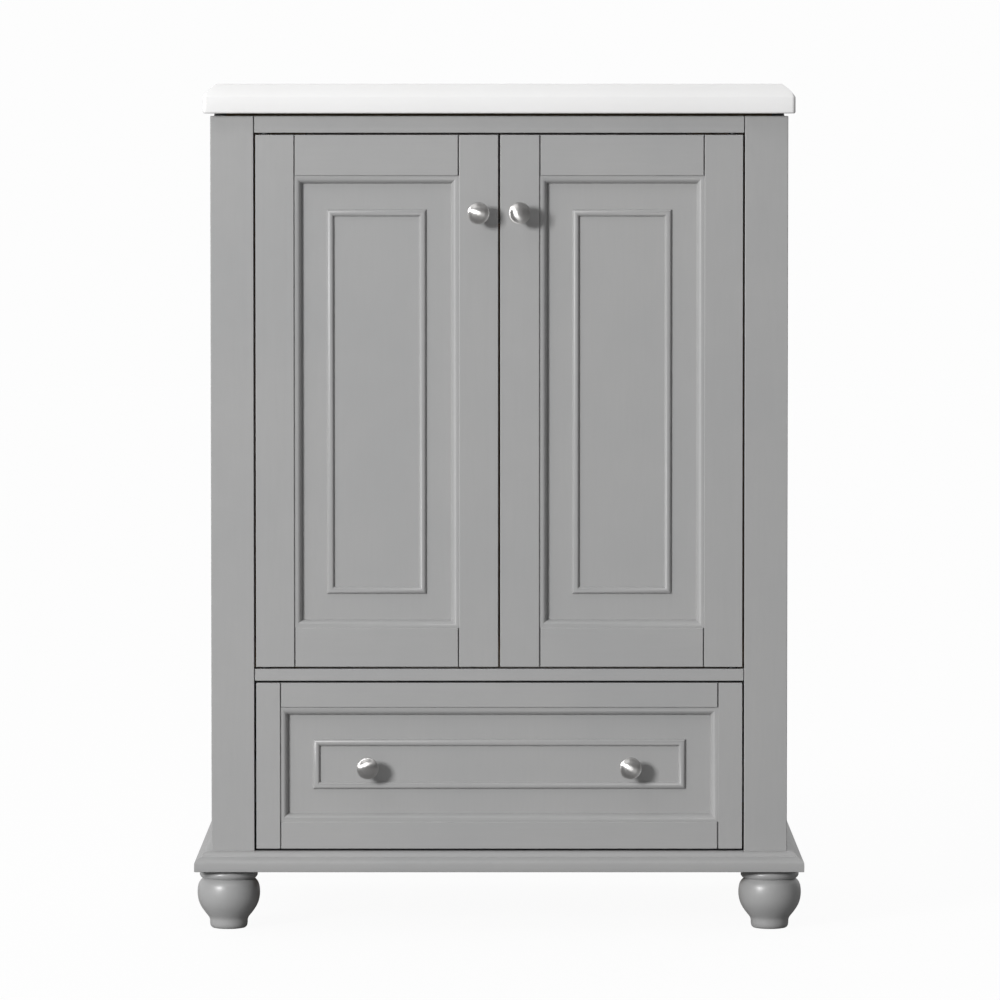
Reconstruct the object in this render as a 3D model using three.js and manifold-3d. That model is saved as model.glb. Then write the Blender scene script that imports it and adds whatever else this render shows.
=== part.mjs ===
// A 24-inch bathroom vanity cabinet: a painted face-frame cabinet on four turned feet, with two
// inset doors over one wide drawer, and a white moulded top with an integral oval basin.
// Millimetres, +Z up, the front faces -Y, and the origin is on the floor under the middle.

import * as THREE from "three";
import { mergeVertices } from "three/addons/utils/BufferGeometryUtils.js";
import Module from "manifold-3d";

const wasm = await Module();
wasm.setup();

// ---------------------------------------------------------------- driving dimensions
// Knobs: the door knobs stand furthest forward, so they set the overall depth
const KNOB_HEAD_RADIUS = 11.25;
const KNOB_PROJECTION = 24;
const DOOR_KNOB = { x: 21.25, z: 742.5 };
const DRAWER_KNOB = { x: 136, z: 168.5 };

// Cabinet carcass
const HALF_DEPTH = 240.75; // door knob to wall, halved
const HALF_WIDTH = 298; // outside of a side panel
const FACE_Y = KNOB_PROJECTION - HALF_DEPTH; // front of the face frame, the doors and the drawer
const BACK_Y = HALF_DEPTH; // against the wall
const FOOT_HEIGHT = 61.5; // underside of the cabinet
const FRAME_TOP = 842.5; // top of the face frame and of the side panels' outer skin
const SEAT_Z = 845; // where the top rests, one shadow line above the frame
const FRONT_THICK = 20; // face frame, door and drawer front thickness
const PANEL_THICK = 16; // side panels, floor and back rail
const FRAME_BACK_Y = FACE_Y + FRONT_THICK;
const INNER_X = HALF_WIDTH - PANEL_THICK;

// Face frame
const STILE_INNER_X = 253.5;
const TOP_RAIL_Z = [825, FRAME_TOP];
const MIDDLE_RAIL_Z = [258.5, 271];
const BOTTOM_RAIL_Z = [FOOT_HEIGHT, 82];
const GAP = 2; // reveal round each door and the drawer front

// Doors and drawer front
const FRONT_X = STILE_INNER_X - GAP; // outer edge of a door and of the drawer front
const MEETING_X = GAP / 2; // half the reveal between the doors
const DOOR_Z = [MIDDLE_RAIL_Z[1] + GAP, TOP_RAIL_Z[0] - GAP];
const DRAWER_Z = [BOTTOM_RAIL_Z[1] + GAP, MIDDLE_RAIL_Z[0] - GAP];
const DOOR_OPENING = { x: [41.5, 212], z: [313.5, 781] }; // inside a door's stiles and rails
const DRAWER_OPENING = { x: [-227, 227], z: [112, 231] };
const RECESS = 9; // panel face behind the frame face
const FIELD_THICK = 7; // panel thickness
const MOULDING_WIDTH = 9; // applied moulding round the panel
const BEAD_WIDTH = 7.5; // raised bead on the panel
const BEAD_HEIGHT = 3.75;
const BEAD_INSET = { x: 25, door: 25.5, drawer: 24.5 }; // from the moulding to the bead

// Pivot hinges: a pin in each end of a door's hinge stile
const PIVOT = { x: 241.5, y: FACE_Y + 6, radius: 3, collar: 5, hole: 3.5, reach: 10 };

// Base moulding and feet
const BASE_PROJECTION = 17.5;
const FOOT_RADIUS = 32.5;
const FRONT_FOOT = { x: 281, y: FACE_Y + 19, girth: 1 };
const REAR_FOOT = { x: 286, y: BACK_Y - 36.5, girth: 0.85 }; // slimmer, out of sight behind the front ones

// Moulded top and basin
const TOP = { halfWidth: 305, frontY: FACE_Y - 13, thick: 30.5, edge: 14, cornerRadius: 4 };
const TOP_Z = SEAT_Z + TOP.thick;
const BASIN = { y: FACE_Y + 198, a: 205, b: 148, wall: 11, depth: 131.5 };
const DRAIN = { radius: 22.5, boss: 33, bossDrop: 4, bossDepth: 19 }; // boss under the bowl
const FAUCET = { radius: 16, spacing: 51, y: BACK_Y - 59.5 };

// Drawer box and slides
const SLIDE = { thick: 12.75, halfHeight: 22.5, z: 152.5, setback: 4, length: 350, gauge: 1.25 };
const BATTEN_LENGTH = 400;
const BOX_X = STILE_INNER_X - SLIDE.thick; // outside of the drawer box
const BOX = { side: 12, length: 370, bottomZ: 95, topZ: 215, backTopZ: 205, floorZ: 101, floor: 6 };

// Back and inside
const BACK_PANEL_THICK = 9;
const BACK_RAIL_Z = 745; // lower edge of the wall rail
const PIPE_OPENING = { x: [20, 150], z: [430, 680] }; // one each side of a middle web
const DECK_Z = 259; // underside of the deck between drawer and doors
const CLEAT = { depth: 16, height: 20 };
const CATCH = { halfWidth: 28, setback: 2.5, depth: 20, height: 19 };

// ---------------------------------------------------------------- materials
const finish = (color, roughness, metalness = 0) => () =>
  new THREE.MeshStandardMaterial({ color, roughness, metalness });
const greyPaint = finish(0x9d9e9e, 0.45);
const plywood = finish(0xcfb78e, 0.6);
const whiteTop = finish(0xf1f1ef, 0.15);
const satinNickel = finish(0xb9b7b3, 0.32, 1);
const zincSteel = finish(0xa8acb0, 0.35, 1);
const blackSteel = finish(0x2b2c2e, 0.5, 1);
const whitePlastic = finish(0xe4e2dc, 0.5);

// ---------------------------------------------------------------- helpers
const group = new THREE.Group();

function add(name, geometry, material) {
  const mesh = new THREE.Mesh(geometry, material());
  mesh.name = name;
  group.add(mesh);
  return mesh;
}

const sorted = ([a, b]) => [Math.min(a, b), Math.max(a, b)];

// A board between two corners given as [low, high] pairs.
function board(xs, ys, zs) {
  const [x, y, z] = [sorted(xs), sorted(ys), sorted(zs)];
  const geometry = new THREE.BoxGeometry(x[1] - x[0], y[1] - y[0], z[1] - z[0]);
  return geometry.translate((x[0] + x[1]) / 2, (y[0] + y[1]) / 2, (z[0] + z[1]) / 2);
}

function shapeOf(points) {
  return new THREE.Shape(points.map(([a, b]) => new THREE.Vector2(a, b)));
}

function extrude(points, depth) {
  return new THREE.ExtrudeGeometry(shapeOf(points), { depth, steps: 1, bevelEnabled: false });
}

// Outline (x, y) raised from z0 to z1.
function prismZ(points, z0, z1) {
  return extrude(points, z1 - z0).translate(0, 0, z0);
}

// Outline (x, z) run from y0 to y1.
function prismY(points, y0, y1) {
  return extrude(points, y1 - y0)
    .rotateX(Math.PI / 2)
    .translate(0, y1, 0);
}

// Outline (y, z) run from x0 to x1: (y, z, depth) turns into (x, y, z) = (depth, y, z).
function prismX(points, x0, x1) {
  return permute(extrude(points, x1 - x0), (u, v, w) => [w + x0, u, v]);
}

// Moves every vertex by a rule, without changing which vertices make a face.
function permute(geometry, rule) {
  const position = geometry.getAttribute("position");
  for (let i = 0; i < position.count; i += 1) {
    position.setXYZ(i, ...rule(position.getX(i), position.getY(i), position.getZ(i)));
  }
  return geometry;
}

function toSolid(geometry) {
  const bare = geometry.index ? geometry.toNonIndexed() : geometry.clone();
  bare.deleteAttribute("normal");
  bare.deleteAttribute("uv");
  const merged = mergeVertices(bare, 1e-3);
  return new wasm.Manifold(
    new wasm.Mesh({
      numProp: 3,
      vertProperties: merged.attributes.position.array,
      triVerts: new Uint32Array(merged.index.array),
    }),
  );
}

function toGeometry(solid) {
  const mesh = solid.getMesh();
  const geometry = new THREE.BufferGeometry();
  geometry.setAttribute("position", new THREE.BufferAttribute(mesh.vertProperties, 3));
  geometry.setIndex(new THREE.BufferAttribute(mesh.triVerts, 1));
  geometry.computeVertexNormals();
  return geometry;
}

function cut(geometry, ...tools) {
  const solid = tools.reduce((rest, tool) => rest.subtract(toSolid(tool)), toSolid(geometry));
  return toGeometry(solid);
}

// A solid of revolution about Z from (radius, height) points that start and end on the axis.
function turned(points, segments) {
  const profile = points.map(([r, z]) => new THREE.Vector2(r, z));
  return new THREE.LatheGeometry(profile, segments).rotateX(Math.PI / 2);
}

function rod(x, y, z0, z1, radius, segments) {
  const profile = [[0, z0], [radius, z0], [radius, z1], [0, z1]];
  return turned(profile, segments).translate(x, y, 0);
}

// A mitred rectangular ring facing -Y. The closed profile holds (distance inside the outer edge,
// height in front of backY) points, and the rectangle is that outer edge.
function mitredRing(profile, rectangle, backY) {
  const [width, height] = [rectangle.x, rectangle.z].map(([low, high]) => high - low);
  const middle = { x: rectangle.x[0] + width / 2, z: rectangle.z[0] + height / 2 };
  const spare = (height - width) / 2;
  const corner = ([inward, forward]) => new THREE.Vector2((width / 2 - inward) * Math.SQRT2, forward);
  const section = [...profile, profile[0]].map(corner).reverse();
  const square = new THREE.LatheGeometry(section, 4).rotateY(Math.PI / 4);
  const snap = (value) => Math.round(value * 64) / 64;
  return permute(square, (x, y, z) => [
    middle.x + snap(x),
    backY - snap(y),
    middle.z + snap(z) + Math.sign(z) * spare,
  ]);
}

const inset = (rectangle, x, z) => ({
  x: [rectangle.x[0] + x, rectangle.x[1] - x],
  z: [rectangle.z[0] + z, rectangle.z[1] - z],
});

// Points of a curve between two corners that is flatter than a quarter circle: it starts level
// with the first and ends level with the second, round the corner that both would meet in.
function easedCorner(start, end, steps, exponent) {
  return Array.from({ length: steps + 1 }, (_, i) => {
    const angle = (i / steps) * (Math.PI / 2);
    const along = Math.sin(angle) ** (2 / exponent);
    const across = 1 - Math.cos(angle) ** (2 / exponent);
    return [start[0] + (end[0] - start[0]) * across, start[1] + (end[1] - start[1]) * along];
  });
}

// ---------------------------------------------------------------- carcass
// The outer skin stops one shadow line below the top, and the inner part carries it.
function sidePanel(side) {
  const reveal = 3.5;
  const outline = [
    [INNER_X, FOOT_HEIGHT],
    [HALF_WIDTH, FOOT_HEIGHT],
    [HALF_WIDTH, FRAME_TOP],
    [HALF_WIDTH - reveal, FRAME_TOP],
    [HALF_WIDTH - reveal, SEAT_Z],
    [INNER_X, SEAT_Z],
  ].map(([x, z]) => [side * x, z]);
  return prismY(side > 0 ? outline : outline.reverse(), FRAME_BACK_Y, BACK_Y);
}

function carcass() {
  const acrossInside = [-INNER_X, INNER_X];
  const toBackPanel = [FRAME_BACK_Y, BACK_Y - BACK_PANEL_THICK];
  for (const [name, side] of [["left", -1], ["right", 1]]) {
    add(`${name}_side_panel`, sidePanel(side), greyPaint);
  }
  add("cabinet_floor", board(acrossInside, toBackPanel, [FOOT_HEIGHT, FOOT_HEIGHT + PANEL_THICK]), plywood);
  add("compartment_deck", board(acrossInside, toBackPanel, [DECK_Z, MIDDLE_RAIL_Z[1]]), plywood);
  add("back_top_rail", board(acrossInside, [BACK_Y - PANEL_THICK, BACK_Y], [BACK_RAIL_Z, SEAT_Z]), plywood);
  const cleatY = [FRAME_BACK_Y, FRAME_BACK_Y + CLEAT.depth];
  add("top_front_cleat", board(acrossInside, cleatY, [SEAT_Z - CLEAT.height, SEAT_Z]), plywood);
  const backY = [BACK_Y - BACK_PANEL_THICK, BACK_Y];
  const through = [backY[0] - 5, backY[1] + 5];
  const openings = [-1, 1].map((side) => {
    return board(PIPE_OPENING.x.map((x) => side * x), through, PIPE_OPENING.z);
  });
  add("back_panel", cut(board(acrossInside, backY, [FOOT_HEIGHT, BACK_RAIL_Z]), ...openings), plywood);
}

// ---------------------------------------------------------------- face frame
function pivotHoles(z0, z1) {
  return [-1, 1].map((side) => rod(side * PIVOT.x, PIVOT.y, z0, z1, PIVOT.hole, 16));
}

function faceFrame() {
  const depth = [FACE_Y, FRAME_BACK_Y];
  const between = [-STILE_INNER_X, STILE_INNER_X];
  for (const [name, side] of [["left", -1], ["right", 1]]) {
    const width = [side * STILE_INNER_X, side * HALF_WIDTH];
    add(`${name}_face_stile`, board(width, depth, [FOOT_HEIGHT, FRAME_TOP]), greyPaint);
  }
  const holeDepth = PIVOT.reach + 1;
  const topHoles = pivotHoles(TOP_RAIL_Z[0] - 5, TOP_RAIL_Z[0] + holeDepth);
  const lowHoles = pivotHoles(MIDDLE_RAIL_Z[1] - holeDepth, MIDDLE_RAIL_Z[1] + 5);
  add("face_top_rail", cut(board(between, depth, TOP_RAIL_Z), ...topHoles), greyPaint);
  add("face_middle_rail", cut(board(between, depth, MIDDLE_RAIL_Z), ...lowHoles), greyPaint);
  add("face_bottom_rail", board(between, depth, BOTTOM_RAIL_Z), greyPaint);
}

// ---------------------------------------------------------------- hinge pins
// Each pin has a thrust collar against the rail, and its two ends reach into rail and door.
function pivotPin(side, railZ, towardsDoor) {
  const collarThick = 1.5;
  const heights = [-PIVOT.reach, 0, collarThick, GAP + PIVOT.reach].map((h) => railZ + towardsDoor * h);
  const radii = [PIVOT.radius, PIVOT.collar, PIVOT.radius];
  const profile = [[0, heights[0]]];
  radii.forEach((radius, i) => {
    profile.push([radius, heights[i]], [radius, heights[i + 1]]);
  });
  profile.push([0, heights[3]]);
  if (towardsDoor < 0) profile.reverse();
  return turned(profile, 16).translate(side * PIVOT.x, PIVOT.y, 0);
}

function hingePins() {
  for (const [name, side] of [["left", -1], ["right", 1]]) {
    add(`${name}_upper_pivot_pin`, pivotPin(side, TOP_RAIL_Z[0], -1), blackSteel);
    add(`${name}_lower_pivot_pin`, pivotPin(side, MIDDLE_RAIL_Z[1], 1), blackSteel);
  }
}

// ---------------------------------------------------------------- panelled fronts
// Stiles run the full height and the rails fit between them.
function panelledFront(prefix, outer, opening, beadInsetZ, names) {
  const depth = [FACE_Y, FRAME_BACK_Y];
  const stiles = [[outer.x[0], opening.x[0]], [opening.x[1], outer.x[1]]];
  const rails = { bottom_rail: [outer.z[0], opening.z[0]], top_rail: [opening.z[1], outer.z[1]] };
  const made = stiles.map((width) => board(width, depth, outer.z));
  names.forEach((name, i) => add(`${prefix}_${name}`, made[i], greyPaint));
  for (const [name, height] of Object.entries(rails)) {
    add(`${prefix}_${name}`, board(opening.x, depth, height), greyPaint);
  }
  const fieldY = FACE_Y + RECESS;
  const field = board(opening.x, [fieldY, fieldY + FIELD_THICK], opening.z);
  const beadBox = inset(opening, MOULDING_WIDTH + BEAD_INSET.x, MOULDING_WIDTH + beadInsetZ);
  const bead = mitredRing(beadProfile(), beadBox, fieldY);
  add(`${prefix}_panel`, toGeometry(toSolid(field).add(toSolid(bead))), greyPaint);
  add(`${prefix}_panel_moulding`, mitredRing(mouldingProfile(), opening, fieldY), greyPaint);
}

// A low rounded bead, let 1 mm into the panel so that the two are one piece.
function beadProfile() {
  const steps = 4;
  const arc = Array.from({ length: steps + 1 }, (_, i) => {
    const angle = (i / steps) * Math.PI;
    return [(BEAD_WIDTH / 2) * (1 - Math.cos(angle)), BEAD_HEIGHT * Math.sin(angle)];
  });
  return [[0, -1], ...arc, [BEAD_WIDTH, -1]];
}

// A small step below the frame, then a quarter round that steepens down to the panel.
function mouldingProfile() {
  const crest = RECESS - 1.5;
  return [
    [0, 0],
    [0, crest - 0.5],
    [1.5, crest],
    [3, crest - 0.25],
    [5, crest - 1.25],
    [7, crest - 3.25],
    [8.25, crest - 5.5],
    [MOULDING_WIDTH, 0],
  ];
}

// ---------------------------------------------------------------- knobs
// Base flange, waisted stem and a flat-domed head; built along +Z, set along -Y.
function knob(x, backY, z) {
  const profile = [
    [0, 0],
    [6.5, 0],
    [6.5, 1.5],
    [4.25, 4],
    [4, 9],
    [5.5, 13],
    [9.5, 15],
    [KNOB_HEAD_RADIUS, 17],
    [KNOB_HEAD_RADIUS, 20],
    [10.25, 21.25],
    [7.5, 22.75],
    [4, 23.75],
    [0, KNOB_PROJECTION],
  ];
  return turned(profile, 20)
    .rotateX(Math.PI / 2)
    .translate(x, backY, z);
}

// ---------------------------------------------------------------- doors
function doors() {
  for (const [name, side] of [["left", -1], ["right", 1]]) {
    const across = ([inner, outer]) => sorted([side * inner, side * outer]);
    const outer = { x: across([MEETING_X, FRONT_X]), z: DOOR_Z };
    const opening = { x: across(DOOR_OPENING.x), z: DOOR_OPENING.z };
    const stiles = side < 0 ? ["hinge_stile", "lock_stile"] : ["lock_stile", "hinge_stile"];
    panelledFront(`${name}_door`, outer, opening, BEAD_INSET.door, stiles);
    const stile = group.children.find((mesh) => mesh.name === `${name}_door_hinge_stile`);
    const depth = PIVOT.reach + 1;
    const ends = [[DOOR_Z[0] - 5, DOOR_Z[0] + depth], [DOOR_Z[1] - depth, DOOR_Z[1] + 5]];
    const holes = ends.map(([z0, z1]) => rod(side * PIVOT.x, PIVOT.y, z0, z1, PIVOT.hole, 16));
    stile.geometry = cut(stile.geometry, ...holes);
    add(`${name}_door_knob`, knob(side * DOOR_KNOB.x, FACE_Y, DOOR_KNOB.z), satinNickel);
  }
}

// ---------------------------------------------------------------- drawer
function drawer() {
  const outer = { x: [-FRONT_X, FRONT_X], z: DRAWER_Z };
  panelledFront("drawer", outer, DRAWER_OPENING, BEAD_INSET.drawer, ["left_stile", "right_stile"]);
  const inside = BOX_X - BOX.side;
  const boxFront = FRAME_BACK_Y + BOX.side;
  const boxEnd = FRAME_BACK_Y + BOX.length;
  const boxBack = boxEnd - BOX.side;
  for (const [name, side] of [["left", -1], ["right", 1]]) {
    const knobBack = FACE_Y + RECESS;
    add(`drawer_${name}_knob`, knob(side * DRAWER_KNOB.x, knobBack, DRAWER_KNOB.z), satinNickel);
    const width = [side * inside, side * BOX_X];
    const height = [BOX.bottomZ, BOX.topZ];
    add(`drawer_box_${name}_side`, board(width, [FRAME_BACK_Y, boxEnd], height), plywood);
  }
  const between = [-inside, inside];
  add("drawer_box_front", board(between, [FRAME_BACK_Y, boxFront], [BOX.bottomZ, BOX.topZ]), plywood);
  add("drawer_box_back", board(between, [boxBack, boxEnd], [BOX.bottomZ, BOX.backTopZ]), plywood);
  const floorZ = [BOX.floorZ, BOX.floorZ + BOX.floor];
  add("drawer_box_bottom", board(between, [boxFront, boxBack], floorZ), plywood);
}

// ---------------------------------------------------------------- drawer slides
// Three nested channels a side: each section gives its web's place and its lips' reach, counted
// from the batten towards the drawer, and its half height.
const SLIDE_MEMBERS = {
  slide_cabinet_member: { web: 0, lip: 9.5, half: SLIDE.halfHeight },
  slide_middle_member: { web: 2.5, lip: 11, half: 19.25 },
  slide_drawer_member: { web: SLIDE.thick - SLIDE.gauge, lip: 5, half: 15 },
};

function slideMember(side, { web, lip, half }) {
  const turnedBack = lip < web;
  const webFar = turnedBack ? web + SLIDE.gauge : web;
  const webNear = turnedBack ? web : web + SLIDE.gauge;
  const lipInner = half - SLIDE.gauge;
  const outline = [
    [webFar, -half],
    [lip, -half],
    [lip, -lipInner],
    [webNear, -lipInner],
    [webNear, lipInner],
    [lip, lipInner],
    [lip, half],
    [webFar, half],
  ].map(([u, v]) => [side * (STILE_INNER_X - u), SLIDE.z + v]);
  const front = FRAME_BACK_Y + SLIDE.setback;
  return prismY(outline, front, front + SLIDE.length);
}

function slides() {
  const battenY = [FRAME_BACK_Y, FRAME_BACK_Y + BATTEN_LENGTH];
  const battenZ = [SLIDE.z - SLIDE.halfHeight, SLIDE.z + SLIDE.halfHeight];
  for (const [name, side] of [["left", -1], ["right", 1]]) {
    const width = [side * STILE_INNER_X, side * INNER_X];
    add(`${name}_slide_batten`, board(width, battenY, battenZ), plywood);
    for (const [member, section] of Object.entries(SLIDE_MEMBERS)) {
      add(`${name}_${member}`, slideMember(side, section), zincSteel);
    }
  }
}

// ---------------------------------------------------------------- base moulding
// Section as (projection from the cabinet, height): a square face under two stacked rounds.
const BASE_PROFILE = [
  [0, FOOT_HEIGHT],
  [BASE_PROJECTION, FOOT_HEIGHT],
  [BASE_PROJECTION, FOOT_HEIGHT + 9],
  [14.5, FOOT_HEIGHT + 12.5],
  [10, FOOT_HEIGHT + 15],
  [9, FOOT_HEIGHT + 17.5],
  [6, FOOT_HEIGHT + 19.75],
  [0, FOOT_HEIGHT + 20.5],
];

// Each length's mitred end follows its own profile out round the cabinet's corner.
function baseMoulding() {
  const front = extrude(BASE_PROFILE, 1);
  const place = (p, z, end) => [(1 - 2 * end) * (HALF_WIDTH + p), FACE_Y - p, z];
  add("front_base_moulding", permute(front, place), greyPaint);
  for (const [name, side] of [["left", -1], ["right", 1]]) {
    const length = extrude(BASE_PROFILE, 1);
    const run = (end, p) => (end === (side < 0 ? 0 : 1) ? FACE_Y - p : BACK_Y);
    permute(length, (p, z, end) => [side * (HALF_WIDTH + p), run(end, p), z]);
    add(`${name}_base_moulding`, length, greyPaint);
  }
}

// ---------------------------------------------------------------- turned feet
const FOOT_PROFILE = [
  [0, 0],
  [16.5, 0],
  [18.5, 1],
  [19.5, 3],
  [19.5, 8],
  [20.75, 11.5],
  [24, 15.75],
  [27.25, 20],
  [30.5, 26.25],
  [32.25, 32.5],
  [FOOT_RADIUS, 38],
  [31.75, 45.5],
  [29.25, 51],
  [27.75, 52.25],
  [30.25, 55],
  [31.5, 57.5],
  [31, 59.5],
  [27, 60.5],
  [27, FOOT_HEIGHT],
  [0, FOOT_HEIGHT],
];

function feet() {
  for (const [along, foot] of [["front", FRONT_FOOT], ["rear", REAR_FOOT]]) {
    for (const [across, side] of [["left", -1], ["right", 1]]) {
      const shape = turned(FOOT_PROFILE, 24).scale(foot.girth, foot.girth, 1);
      add(`${along}_${across}_foot`, shape.translate(side * foot.x, foot.y, 0), greyPaint);
    }
  }
}

// ---------------------------------------------------------------- top with basin
// Edge section at the front and the ends: small lower round, upright face, bevel with soft corners.
function edgeSection(edge) {
  const lower = 2.5;
  return [
    [edge - lower, SEAT_Z],
    [edge, SEAT_Z + lower],
    ...easedCorner([edge, TOP_Z - TOP.edge], [edge - TOP.edge, TOP_Z], 5, 1.2),
  ];
}

function slab() {
  const end = edgeSection(TOP.halfWidth);
  const mirrored = end.map(([x, z]) => [-x, z]).reverse();
  const across = prismY([...end, ...mirrored], TOP.frontY, BACK_Y);
  const front = edgeSection(-TOP.frontY).map(([y, z]) => [-y, z]);
  const sideOn = [[BACK_Y, TOP_Z], ...front.reverse(), [BACK_Y, SEAT_Z]];
  const along = prismX(sideOn, -TOP.halfWidth, TOP.halfWidth);
  const r = TOP.cornerRadius;
  const corner = easedCorner([TOP.halfWidth, TOP.frontY + r], [TOP.halfWidth - r, TOP.frontY], 4, 2);
  const leftCorner = corner.map(([x, y]) => [-x, y]).reverse();
  const outline = [...corner, ...leftCorner, [-TOP.halfWidth, BACK_Y], [TOP.halfWidth, BACK_Y]];
  const plan = prismZ(outline.reverse(), SEAT_Z, TOP_Z);
  return toSolid(across).intersect(toSolid(along)).intersect(toSolid(plan));
}

// Half section of the basin as (share of the rim radius, depth below the top).
const BASIN_SECTION = [
  [0, BASIN.depth],
  [0.2, BASIN.depth - 0.5],
  [0.42, BASIN.depth - 4],
  [0.62, BASIN.depth - 12],
  [0.77, BASIN.depth - 26],
  [0.87, BASIN.depth - 47],
  [0.93, BASIN.depth - 75],
  [0.96, 30],
  [0.972, 12],
  [0.982, 4],
  [1, 0],
];

// The bowl shape grown by a wall, up to a flat lid at the given height.
function bowl(wall, lidZ) {
  const section = BASIN_SECTION.map(([share, depth]) => [share * (BASIN.a + wall), TOP_Z - depth - wall]);
  const rim = section[section.length - 1][0];
  return turned([...section, [rim, lidZ], [0, lidZ]], 40)
    .scale(1, (BASIN.b + wall) / (BASIN.a + wall), 1)
    .translate(0, BASIN.y, 0);
}

function countertop() {
  const basinBottom = TOP_Z - BASIN.depth - BASIN.wall;
  const bossZ = [basinBottom - DRAIN.bossDrop, basinBottom - DRAIN.bossDrop + DRAIN.bossDepth];
  const boss = rod(0, BASIN.y, bossZ[0], bossZ[1], DRAIN.boss, 32);
  const faucetHole = (x) => rod(x, FAUCET.y, SEAT_Z - 5, TOP_Z + 5, FAUCET.radius, 24);
  const holes = [-FAUCET.spacing, 0, FAUCET.spacing].map(faucetHole);
  holes.push(rod(0, BASIN.y, bossZ[0] - 5, TOP_Z, DRAIN.radius, 32));
  const shell = slab()
    .add(toSolid(bowl(BASIN.wall, TOP_Z - TOP.edge)))
    .add(toSolid(boss))
    .subtract(toSolid(bowl(0, TOP_Z + 5)));
  const finished = holes.reduce((rest, hole) => rest.subtract(toSolid(hole)), shell);
  add("countertop", toGeometry(finished), whiteTop);
}

// ---------------------------------------------------------------- door catch
function doorCatch() {
  const top = SEAT_Z - CLEAT.height;
  const width = [-CATCH.halfWidth, CATCH.halfWidth];
  const front = FRAME_BACK_Y + CATCH.setback;
  const depth = [front, front + CATCH.depth];
  add("double_magnetic_catch", board(width, depth, [top - CATCH.height, top]), whitePlastic);
}

carcass();
faceFrame();
hingePins();
doors();
drawer();
slides();
baseMoulding();
feet();
countertop();
doorCatch();

export default group;
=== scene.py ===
"""A painted bathroom vanity cabinet with a white basin top: its fine shapes and materials."""

import math

import bmesh
import bpy
from mathutils import Matrix, Vector

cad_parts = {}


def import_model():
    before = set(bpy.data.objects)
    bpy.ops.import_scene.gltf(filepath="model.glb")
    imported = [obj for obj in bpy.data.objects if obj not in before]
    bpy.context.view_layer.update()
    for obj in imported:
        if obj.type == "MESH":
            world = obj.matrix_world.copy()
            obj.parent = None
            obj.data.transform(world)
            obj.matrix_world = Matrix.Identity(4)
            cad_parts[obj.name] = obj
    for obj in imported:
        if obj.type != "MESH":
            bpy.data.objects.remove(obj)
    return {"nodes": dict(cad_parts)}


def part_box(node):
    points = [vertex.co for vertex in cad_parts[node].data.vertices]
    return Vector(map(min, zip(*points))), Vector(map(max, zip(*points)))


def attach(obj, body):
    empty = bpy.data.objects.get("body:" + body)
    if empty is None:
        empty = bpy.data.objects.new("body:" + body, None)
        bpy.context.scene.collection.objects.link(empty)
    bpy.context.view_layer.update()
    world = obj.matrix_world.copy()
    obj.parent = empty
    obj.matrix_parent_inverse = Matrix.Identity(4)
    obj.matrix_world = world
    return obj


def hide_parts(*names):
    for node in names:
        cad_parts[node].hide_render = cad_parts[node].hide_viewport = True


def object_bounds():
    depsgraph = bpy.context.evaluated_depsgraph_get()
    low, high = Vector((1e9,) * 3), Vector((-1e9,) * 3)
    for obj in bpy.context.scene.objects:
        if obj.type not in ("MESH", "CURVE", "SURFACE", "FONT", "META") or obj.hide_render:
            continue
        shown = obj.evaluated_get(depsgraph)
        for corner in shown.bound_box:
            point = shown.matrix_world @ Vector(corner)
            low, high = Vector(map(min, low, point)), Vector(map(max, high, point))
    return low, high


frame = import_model()
cad_low, cad_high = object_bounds()

MM = 0.001
SIDES = {"left": -1, "right": 1}
FACE_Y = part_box("left_face_stile")[0].y  # front of the face frame, the doors and the drawer
FRAME_BACK_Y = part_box("left_face_stile")[1].y
EASED_EDGE = 0.8 * MM  # radius that the paint leaves on a board's edge
JOINT_DEPTH = 3.5 * MM  # how deep the joint lines between rails and stiles are open
ON_AXIS = 1e-7  # a turned radius under this is a point on the axis


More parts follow.
